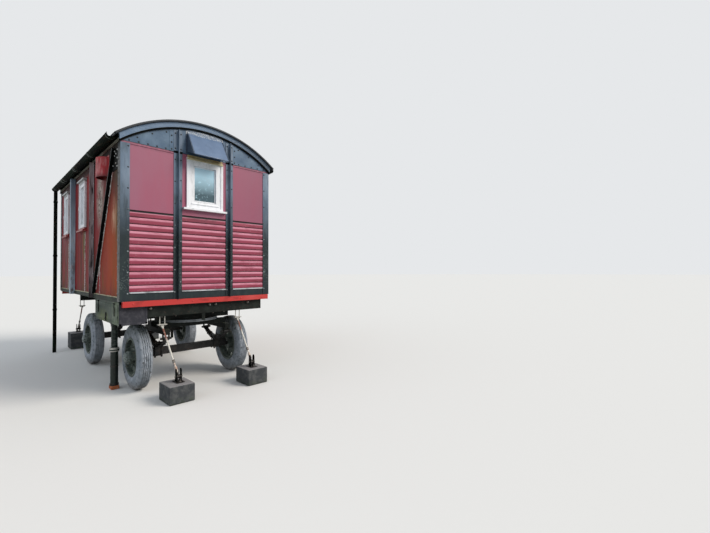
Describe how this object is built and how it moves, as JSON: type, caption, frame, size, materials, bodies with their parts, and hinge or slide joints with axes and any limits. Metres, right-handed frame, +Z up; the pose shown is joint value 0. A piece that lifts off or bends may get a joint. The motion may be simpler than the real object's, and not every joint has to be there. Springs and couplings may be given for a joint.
{
  "type": "shepherd's hut",
  "caption": "Wheeled living hut with a bowed roof, shiplap and riveted sheet walls in an iron frame, windows, a side door, sprung bogies and ground tie rods",
  "frame": {"origin": "on the ground under the middle of the body", "axes": "+Z up, -Y towards the turntable end with its hooded window, -X towards the long side with two windows, metres"},
  "size_m": [2.608, 5.82, 4.0848],
  "materials": {
    "black_iron": "black paint, riveted",
    "black_sheet": "glossy black paint",
    "block_stone": "cast, dark",
    "brick": "rough",
    "bright_red": "painted",
    "framing": "plain timber",
    "galvanised": "galvanised, rust at the ends",
    "gutter_plastic": "weathered",
    "maroon_boards": "painted, weathered",
    "red_sheet": "glossy paint over riveted sheet",
    "roof_skin": "painted sheet",
    "tyre_rubber": "dusty rubber",
    "underframe": "old paint with algae",
    "wheel_steel": "old paint",
    "white_paint": "painted",
    "window_glass": "clear"
  },
  "bodies": {
    "hut": {"floor_deck": "framing", "floor_bearers": "framing", "side_rails": "black_iron", "end_rails": "black_iron", "left_wall": "framing", "right_wall": "framing", "front_wall": "framing", "rear_wall": "framing", "left_panels": "red_sheet", "right_panels": "red_sheet", "end_boards": "maroon_boards", "end_panels": "maroon_boards", "gable_sheets": "black_sheet", "drip_strips": "white_paint", "painted_strips": "bright_red", "corner_angles": "black_iron", "end_tee_irons": "black_iron", "side_tee_irons": "black_iron", "side_posts": "black_iron", "side_braces": "black_iron", "cover_strips": "red_sheet", "roof_shell": "roof_skin", "end_arches": "black_sheet", "eave_boards": "black_iron", "gutters": "gutter_plastic", "gutter_brackets": "gutter_plastic", "downpipes": "gutter_plastic", "vent_cowl": "red_sheet", "end_window_frames": "white_paint", "end_window_sashes": "white_paint", "side_window_frames": "white_paint", "side_window_sashes": "white_paint", "window_glass": "window_glass", "window_heads": "framing", "window_hoods": "black_sheet", "door_frame": "white_paint", "door_leaf": "red_sheet", "chassis_rails": "underframe", "headstocks": "underframe", "side_locker": "underframe", "bolsters": "underframe", "turntable_rings": "underframe", "front_bogie": "underframe", "rear_bogie": "underframe", "springs": "underframe", "axles": "underframe", "ground_blocks": "block_stone", "tie_rods": "galvanised", "prop": "underframe", "prop_pad": "brick"},
    "front_left_wheel": {"wheel_front_left": "wheel_steel", "tyre_front_left": "tyre_rubber"},
    "front_right_wheel": {"wheel_front_right": "wheel_steel", "tyre_front_right": "tyre_rubber"},
    "rear_left_wheel": {"wheel_rear_left": "wheel_steel", "tyre_rear_left": "tyre_rubber"},
    "rear_right_wheel": {"wheel_rear_right": "wheel_steel", "tyre_rear_right": "tyre_rubber"}
  },
  "joints": [
    {"name": "front_left_spin", "type": "hinge", "parent": "hut", "child": "front_left_wheel", "pos_m": [-0.7675, -1.73, 0.49], "axis": [1, 0, 0], "continuous": true},
    {"name": "front_right_spin", "type": "hinge", "parent": "hut", "child": "front_right_wheel", "pos_m": [0.7675, -1.73, 0.49], "axis": [1, 0, 0], "continuous": true},
    {"name": "rear_left_spin", "type": "hinge", "parent": "hut", "child": "rear_left_wheel", "pos_m": [-0.8675, 0.64, 0.49], "axis": [1, 0, 0], "continuous": true},
    {"name": "rear_right_spin", "type": "hinge", "parent": "hut", "child": "rear_right_wheel", "pos_m": [0.8675, 0.64, 0.49], "axis": [1, 0, 0], "continuous": true}
  ]
}
